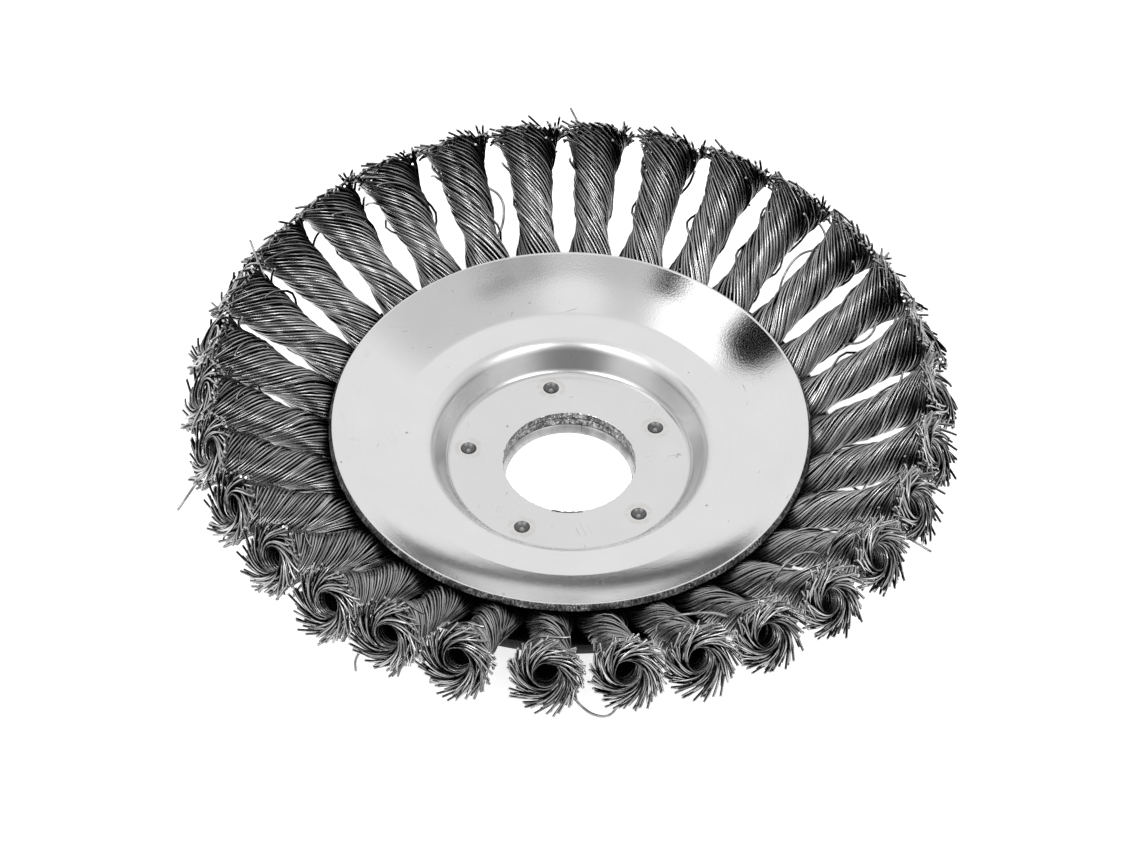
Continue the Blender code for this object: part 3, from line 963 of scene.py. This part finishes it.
def sheet_outline(corners, sheet):
    """The outline of the sheet's section: out along the top, back along the underside."""
    top = rounded_profile(corners)
    under = []
    for index, point in enumerate(top):
        before = top[max(index - 1, 0)]
        after = top[min(index + 1, len(top) - 1)]
        run = (after - before).normalized()
        under.append(point + Vector((run.y, -run.x)) * sheet)
    return top + under[::-1]


def turned(name, outline, material, edge):
    mesh = bpy.data.meshes.new(name)
    count = len(outline)
    mesh.from_pydata([(p.x, 0, p.y) for p in outline], [(i, (i + 1) % count) for i in range(count)], [])
    mesh.materials.append(material)
    mesh.materials.append(sheared_edge)
    mesh.materials.append(weld_scale_and_highlight)
    obj = in_scene(name, mesh)
    screw = obj.modifiers.new("Turn", "SCREW")
    screw.steps = SHEET_STEPS
    screw.render_steps = SHEET_STEPS
    screw.use_merge_vertices = True
    screw.merge_threshold = 0.001 * MM
    bevel = obj.modifiers.new("Edges", "BEVEL")
    bevel.width = edge
    bevel.segments = 2
    bevel.limit_method = "ANGLE"
    bevel.angle_limit = math.radians(50)
    return finished_mesh(obj, name)


BURR_ANGLE = math.radians(-94)
BURR_SPREAD = 0.26


def paint_sheared_edges(mesh, bore_radius, rim_radius, rim_slope, margin):
    """Gives the bore, a burr on its near side and the rim's cut edge the material of a sheared edge."""
    rim_way = Vector((math.cos(rim_slope), math.sin(rim_slope)))
    for face in mesh.polygons:
        outward = Vector(face.center[:2])
        radial = face.normal.x * outward.x + face.normal.y * outward.y
        looks = Vector((radial / outward.length, face.normal.z))
        at_bore = outward.length < bore_radius + margin and looks.x < -0.5
        at_rim = outward.length > rim_radius - margin and looks.dot(rim_way) > 0.8
        turn = math.atan2(outward.y, outward.x)
        ragged = BURR_SPREAD * (1 + 0.6 * math_noise.noise(face.center / MM))
        at_burr = outward.length < bore_radius + HELD and looks.y > 0.8 and abs(turn - BURR_ANGLE) < ragged
        if at_bore or at_rim or at_burr:
            face.material_index = 1


def roughen_bore(mesh, bore_radius, reach, depth):
    """Pulls the corners near the bore in and out a little, as shearing leaves them."""
    for vertex in mesh.vertices:
        outward = Vector((vertex.co.x, vertex.co.y, 0))
        if outward.length < bore_radius + reach:
            ragged = math_noise.noise(vertex.co / (0.8 * MM))
            ragged += 0.5 * math_noise.noise(vertex.co / (0.3 * MM))
            vertex.co += outward.normalized() * ragged * depth


# %% [markdown]
# ## Spot welds
# Five spot welds join the plates, and each has left a pit with a small bump at its bottom in both
# faces of the hub. They repeat round a circle, so a Geometry Nodes tree places one sphere for each
# pit, cuts all of them from the plate, and sets the smaller bumps in with a union.

# %% The tree for the welds
PIT_RADIUS = 1.55 * MM
PIT_DEPTH = 0.65 * MM
BUMP_RADIUS = 0.8 * MM
BUMP_RISE = 0.28 * MM
BUMP_FLATNESS = 0.5


def build_weld_tree():
    inputs = {
        "Plate": "Geometry",
        "Count": WELD_COUNT,
        "Circle Radius": WELD_CIRCLE,
        "First Angle": FIRST_WELD_ANGLE,
        "Pit Radius": PIT_RADIUS,
        "Pit Depth": PIT_DEPTH,
        "Bump Radius": BUMP_RADIUS,
        "Bump Rise": BUMP_RISE,
        "Surface": 0.0,
        "Facing": 1.0,
        "Weld Material": "Material",
    }
    tree, value = new_tree("spot_welds", "GeometryNodeTree", inputs, {"Geometry": "Geometry"})
    index = result(tree, "GeometryNodeInputIndex")
    angle = value["First Angle"] + index * math.tau / value["Count"]
    x = value["Circle Radius"] * angle.cosine() + WELD_OFFSET[0]
    y = value["Circle Radius"] * angle.sine() + WELD_OFFSET[1]

    def spheres(radius, height, flatness=1.0):
        inputs = {"Count": value["Count"], "Position": combined(tree, x, y, height)}
        points = result(tree, "GeometryNodePoints", inputs)
        inputs = {"Segments": 32, "Rings": 24, "Radius": radius}
        ball = result(tree, "GeometryNodeMeshUVSphere", inputs)
        inputs = {"Points": points, "Instance": ball, "Scale": (1, 1, flatness)}
        copies = result(tree, "GeometryNodeInstanceOnPoints", inputs)
        real = result(tree, "GeometryNodeRealizeInstances", {"Geometry": copies})
        inputs = {"Geometry": real, "Material": value["Weld Material"]}
        return result(tree, "GeometryNodeSetMaterial", inputs)

    # A pit is the cap of a larger ball, and a bump is a flattened ball that is sunk into the pit
    pit_ball = (value["Pit Radius"] ** 2 + value["Pit Depth"] ** 2) / (value["Pit Depth"] * 2)
    pits = spheres(pit_ball, value["Surface"] + value["Facing"] * (pit_ball - value["Pit Depth"]))
    inputs = {"Mesh 1": value["Plate"], "Mesh 2": pits}
    cut = result(tree, "GeometryNodeMeshBoolean", inputs, operation="DIFFERENCE", solver="EXACT")
    sunk = value["Pit Depth"] - value["Bump Rise"] + value["Bump Radius"] * BUMP_FLATNESS
    bumps = spheres(value["Bump Radius"], value["Surface"] - value["Facing"] * sunk, BUMP_FLATNESS)
    whole = node_with(tree, "GeometryNodeMeshBoolean", operation="UNION", solver="EXACT")
    for part in (cut, bumps):
        feed(tree, part, whole.inputs["Mesh 2"])
    real = result(tree, "GeometryNodeRealizeInstances", {"Geometry": whole.outputs["Mesh"]})
    node_with(tree, "NodeGroupOutput", {"Geometry": real})
    return tree


weld_tree = build_weld_tree()
print("welds:", WELD_COUNT, "in each face of the hub")


def smooth_but_sharp(mesh):
    mesh.shade_smooth()
    mesh.set_sharp_from_angle(angle=SHARP_ANGLE)


def with_welds(mesh, surface, facing):
    inputs = {"Surface": surface, "Facing": facing, "Weld Material": weld_scale_and_highlight}
    welded = run_tree(in_scene(mesh.name, mesh), weld_tree, inputs)
    smooth_but_sharp(welded)
    return welded


# %% The upper plate
FLANGE_CURVE = math.radians(2.5)
FLANGE_SWEEP_RADIUS = 75 * MM
UPPER_EDGE = 0.22 * MM
SHEARED_BAND = 0.7 * MM
RAGGED_BAND = 0.3 * MM
RAGGED_DEPTH = 0.14 * MM
half_flange = (rim_radius - flange_fold_radius) / 2 / math.cos(FLANGE_ANGLE)
flange_middle = Vector((flange_fold_radius, flat_top)) + half_flange * Vector(
    (math.cos(FLANGE_ANGLE - FLANGE_CURVE), math.sin(FLANGE_ANGLE - FLANGE_CURVE))
)
wall_bend = math.tan(RECESS_WALL_ANGLE / 2)
rim_approach = (Vector((rim_radius, rim_top)) - flange_middle).normalized() * HELD
upper_corners = [
    (UPPER_BORE_RADIUS, floor_top, 0, 0),
    (UPPER_BORE_RADIUS + HELD, floor_top, 0, 0),
    (RECESS_RADIUS - RECESS_FLOOR_FILLET * wall_bend - HELD, floor_top, 0, 0),
    (RECESS_RADIUS, floor_top, RECESS_FLOOR_FILLET, 8),
    (recess_lip_radius, flat_top, RECESS_LIP_FILLET, 14),
    (recess_lip_radius + RECESS_LIP_FILLET * wall_bend + HELD, flat_top, 0, 0),
    (flange_fold_radius - 3 * HELD, flat_top, 0, 0),
    (flange_fold_radius, flat_top, FLANGE_FOLD_FILLET, 6),
    (flange_middle.x, flange_middle.y, FLANGE_SWEEP_RADIUS, 6),
    (rim_radius - rim_approach.x, rim_top - rim_approach.y, 0, 0),
    (rim_radius, rim_top, 0, 0),
]
upper_outline = sheet_outline(upper_corners, UPPER_SHEET)
upper_mesh = turned("zinc_upper_plate", upper_outline, zinc, UPPER_EDGE)
paint_sheared_edges(upper_mesh, UPPER_BORE_RADIUS, rim_radius, FLANGE_ANGLE, SHEARED_BAND)
roughen_bore(upper_mesh, UPPER_BORE_RADIUS, RAGGED_BAND, RAGGED_DEPTH)
upper_mesh = with_welds(upper_mesh, floor_top, 1.0)
as_piece("zinc_upper_plate", upper_mesh, "upper_plate")
print("upper plate:", triangles(upper_mesh), "triangles")

# %% The lower plate
LOWER_EDGE = 0.15 * MM
lower_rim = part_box("lower_plate")[1]
lower_rim_radius = lower_rim.x - LOWER_SHEET * math.sin(KNOT_ANGLE)
lower_fold_radius = clamp_radius + (
    LOWER_SHEET - clamp_height + (2 * SEAT_GAP + CLAMPED_THICKNESS) / math.cos(KNOT_ANGLE)
) / math.tan(KNOT_ANGLE)
bush_rim_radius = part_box("bore_bush")[1].x
lower_corners = [
    (bush_rim_radius + SEAT_GAP, LOWER_SHEET, 0, 0),
    (bush_rim_radius + SEAT_GAP + HELD, LOWER_SHEET, 0, 0),
    (lower_fold_radius, LOWER_SHEET, LOWER_FOLD_FILLET, 6),
    (lower_rim_radius, lower_rim.z, 0, 0),
]
lower_outline = sheet_outline(lower_corners, LOWER_SHEET)
# The lower plate gets the near-black material of painted shade, with grain and handling marks on it
lower_mesh = turned("lower_plate_painted_shade_black", lower_outline, painted_shade_black, LOWER_EDGE)
lower_mesh = with_welds(lower_mesh, 0.0, -1.0)
as_piece("lower_plate_painted_shade_black", lower_mesh, "lower_plate")
print("lower plate:", triangles(lower_mesh), "triangles")

# %% [markdown]
# ## Bush and carrier
# The bush is a strip rolled into a ring, so its ends nearly meet at a seam. A small rectangle spun
# about the spindle by a little less than a full turn gives it both ends, and its bore opens a
# little towards the top, so that it meets the carrier without a ledge. The carrier is only seen
# as the dark middle layer in the bore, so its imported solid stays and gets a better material.

# %% The rolled bush
BUSH_WALL = 1.75 * MM
BUSH_FLARE = 0.6 * MM
BUSH_EDGE = 0.2 * MM
BUSH_SEAM = 0.1 * MM
BUSH_SEAM_ANGLE = math.radians(80)
BUSH_STEPS = 200


def make_rolled_strip():
    material, tree, shader = new_material("rolled_strip")
    worn = noise(tree, drawn_out(tree, object_place(tree), 0.25), 500.0, detail=3.0)
    paint(tree, shader, mixed(tree, 0.4, 0.6, worn.ramp(0.3, 0.6)), 0.32 + worn * 0.15)
    return material


def make_bush_mesh():
    inner = bush_rim_radius - BUSH_WALL
    seam = BUSH_SEAM / inner
    corners = [
        (inner, BUSH_EDGE),
        (inner + BUSH_EDGE, 0),
        (bush_rim_radius - BUSH_EDGE, 0),
        (bush_rim_radius, BUSH_EDGE),
        (bush_rim_radius, LOWER_SHEET - BUSH_EDGE),
        (bush_rim_radius - BUSH_EDGE, LOWER_SHEET),
        (inner + BUSH_FLARE + BUSH_EDGE, LOWER_SHEET),
        (inner + BUSH_FLARE, LOWER_SHEET - BUSH_EDGE),
    ]
    shape = bmesh.new()
    section = shape.faces.new([shape.verts.new((radius, 0, height)) for radius, height in corners])
    bmesh.ops.rotate(shape, verts=shape.verts, matrix=Matrix.Rotation(BUSH_SEAM_ANGLE + seam / 2, 3, "Z"))
    bmesh.ops.spin(
        shape,
        geom=[section],
        cent=(0, 0, 0),
        axis=(0, 0, 1),
        angle=math.tau - seam,
        steps=BUSH_STEPS,
    )
    bmesh.ops.recalc_face_normals(shape, faces=shape.faces)
    mesh = kept_mesh(shape, "rolled_bush")
    mesh.materials.append(make_rolled_strip())
    smooth_but_sharp(mesh)
    return mesh


bush_mesh = make_bush_mesh()
as_piece("rolled_bush", bush_mesh, "bore_bush")
print("bush:", triangles(bush_mesh), "triangles")

# %% The carrier
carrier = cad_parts["carrier_plate"]
carrier.data.materials[0] = sheared_edge
print("carrier plate: packed solid in", sheared_edge.name)

# %% [markdown]
# ## Floor and light
# The wheel lies on a white floor. The floor glows a little for the camera and for reflections, so
# it reads as plain white and still takes a soft shadow. The world is the studio: a bright wall
# behind, a darker room in front, and cards overhead. The bright and grey cards even out the zinc,
# and the dark ones give it its dark patches. Four softboxes light the wheel, two of them low.

# %% Floor
FLOOR_GLOW = 0.72
FLOOR_RADIUS = 4.0


def seen_directly(tree):
    """1 for camera, glossy and transmission rays, and 0 for the rest."""
    path = tree.nodes.new("ShaderNodeLightPath")
    kinds = [Formula(tree, path.outputs[f"Is {kind} Ray"]) for kind in ("Camera", "Glossy", "Transmission")]
    return kinds[0].at_least(kinds[1]).at_least(kinds[2])


shape = bmesh.new()
bmesh.ops.create_circle(shape, cap_ends=True, segments=64, radius=FLOOR_RADIUS)
floor_mesh = kept_mesh(shape, "studio_floor")
floor_material, floor_tree, floor_shader = new_material("white_floor", metallic=0.0)
floor_shader.inputs["Base Color"].default_value = (0.9, 0.9, 0.9, 1)
floor_shader.inputs["Roughness"].default_value = 0.9
floor_shader.inputs["Emission Color"].default_value = (1, 1, 1, 1)
feed(floor_tree, seen_directly(floor_tree) * FLOOR_GLOW, floor_shader.inputs["Emission Strength"])
floor_mesh.materials.append(floor_material)
in_scene("studio_floor", floor_mesh)
print(f"floor: {FLOOR_RADIUS:.0f} m in radius, glow {FLOOR_GLOW}")

# %% Studio world
# Each card has its direction, the angles in degrees where it starts and ends to fade, and its strength
FRONT_LEVEL = 0.25
BACK_LEVEL = 0.95
CARDS = [
    ("grey card", (0.43, 0.1, 0.9), 4, 22, 0.7),
    ("ceiling card", (0.0, 0.0, 1.0), 3, 9, 0.97),
    ("bright card", (-0.45, 0.14, 0.88), 8, 14, 1.5),
    ("dark card", (-0.583, 0.268, 0.767), 6.5, 8.2, 0.0),
    ("small dark card", (-0.342, -0.05, 0.938), 2.6, 4.4, 0.0),
    ("dark strip", (0.297, 0.0, 0.955), 0.5, 4, 0.45),
    ("dark strip", (0.241, -0.058, 0.968), 1, 4, 0.35),
    ("dark strip", (0.153, -0.114, 0.982), 1, 3.5, 0.4),
]


def make_world():
    world = bpy.data.worlds.new("studio_world")
    world.use_nodes = True
    tree = world.node_tree
    x, y, z = coordinates(tree, result(tree, "ShaderNodeTexCoord", output="Generated"))
    level = FRONT_LEVEL + (BACK_LEVEL - FRONT_LEVEL) * y.ramp(-0.75, 0.45)
    for _, way, core, edge, strength in CARDS:
        aimed = Vector(way).normalized()
        towards = x * aimed.x + y * aimed.y + z * aimed.z
        share = towards.ramp(math.cos(math.radians(edge)), math.cos(math.radians(core)))
        level = level + (strength - level) * share
    direct = result(tree, "ShaderNodeLightPath", output="Is Camera Ray")
    level = level + (1 - level) * direct
    feed(tree, level, tree.nodes["Background"].inputs["Strength"])
    tree.nodes["Background"].inputs["Color"].default_value = (1, 1, 1, 1)
    return world


bpy.context.scene.world = make_world()
print("in the studio:", ", ".join(card[0] for card in CARDS))

# %% Lamps
LAMP_TARGET = Vector((0, 0, 0.015))
LAMPS = [
    ("overhead_left_softbox", (-0.6, -0.7, 1.25), 0.55, 6.0),
    ("overhead_right_softbox", (0.62, -0.65, 1.2), 0.5, 4.5),
    ("low_left_softbox", (-1.1, -1.1, 0.8), 1.1, 3.7),
    ("low_right_softbox", (1.1, -1.1, 0.8), 1.1, 3.7),
]


def soft_lamp(name, place, size, power):
    lamp = bpy.data.lights.new(name, "AREA")
    lamp.shape = "SQUARE"
    lamp.size = size
    lamp.energy = power
    obj = in_scene(name, lamp)
    obj.location = place
    obj.rotation_euler = (LAMP_TARGET - Vector(place)).to_track_quat("-Z", "Y").to_euler()
    return obj


for lamp in LAMPS:
    print("lamp:", soft_lamp(*lamp).name)
bpy.context.scene.view_settings.view_transform = "Standard"
